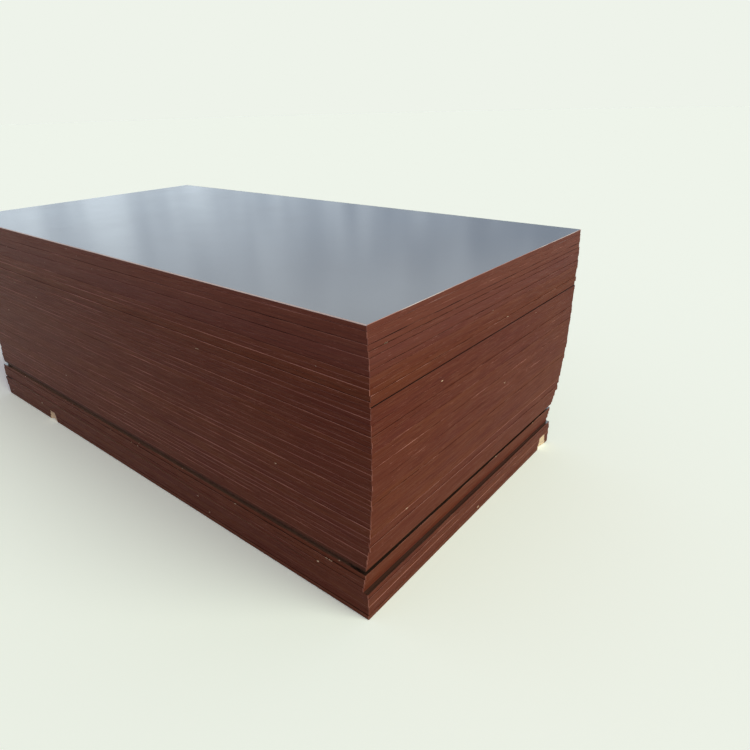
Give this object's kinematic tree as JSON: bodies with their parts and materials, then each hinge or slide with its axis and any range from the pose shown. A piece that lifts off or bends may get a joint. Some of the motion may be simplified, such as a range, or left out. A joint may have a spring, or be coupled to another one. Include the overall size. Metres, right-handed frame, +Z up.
{
  "type": "stack of plywood sheets",
  "caption": "Stack of brown film-faced plywood sheets lying flat: a main pack on a packing board on a base pack, ready to be lifted off sheet by sheet.",
  "frame": {"origin": "centre of the footprint's box, on the floor under the lowest sheet", "axes": "+X along the long side of the sheets, +Y across them, +Z up"},
  "size_m": [2.4886, 1.2444, 0.908],
  "materials": {
    "film_faced_plywood": "dark brown phenolic film on the faces, brown sealing paint on the edges",
    "packing_board": "plain board, dark with dust"
  },
  "bodies": {
    "root": {"base_sheet_01": "film_faced_plywood", "base_sheet_02": "film_faced_plywood", "base_sheet_03": "film_faced_plywood", "base_sheet_04": "film_faced_plywood", "base_sheet_05": "film_faced_plywood", "base_sheet_06": "film_faced_plywood", "base_sheet_07": "film_faced_plywood", "base_sheet_08": "film_faced_plywood", "base_sheet_09": "film_faced_plywood", "base_sheet_10": "film_faced_plywood", "packing_board": "packing_board", "sheet_01": "film_faced_plywood", "sheet_02": "film_faced_plywood", "sheet_03": "film_faced_plywood", "sheet_04": "film_faced_plywood", "sheet_05": "film_faced_plywood", "sheet_06": "film_faced_plywood", "sheet_07": "film_faced_plywood", "sheet_08": "film_faced_plywood", "sheet_09": "film_faced_plywood", "sheet_10": "film_faced_plywood", "sheet_11": "film_faced_plywood", "sheet_12": "film_faced_plywood", "sheet_13": "film_faced_plywood", "sheet_14": "film_faced_plywood", "sheet_15": "film_faced_plywood", "sheet_16": "film_faced_plywood", "sheet_17": "film_faced_plywood", "sheet_18": "film_faced_plywood", "sheet_19": "film_faced_plywood", "sheet_20": "film_faced_plywood", "sheet_21": "film_faced_plywood", "sheet_22": "film_faced_plywood", "sheet_23": "film_faced_plywood", "sheet_24": "film_faced_plywood", "sheet_25": "film_faced_plywood", "sheet_26": "film_faced_plywood", "sheet_27": "film_faced_plywood", "sheet_28": "film_faced_plywood", "sheet_29": "film_faced_plywood", "sheet_30": "film_faced_plywood", "sheet_31": "film_faced_plywood", "sheet_32": "film_faced_plywood", "sheet_33": "film_faced_plywood", "sheet_34": "film_faced_plywood", "sheet_35": "film_faced_plywood", "sheet_36": "film_faced_plywood", "sheet_37": "film_faced_plywood", "sheet_38": "film_faced_plywood", "sheet_39": "film_faced_plywood", "sheet_40": "film_faced_plywood", "sheet_41": "film_faced_plywood", "sheet_42": "film_faced_plywood", "sheet_43": "film_faced_plywood", "sheet_44": "film_faced_plywood", "sheet_45": "film_faced_plywood", "sheet_46": "film_faced_plywood"}
  },
  "joints": []
}
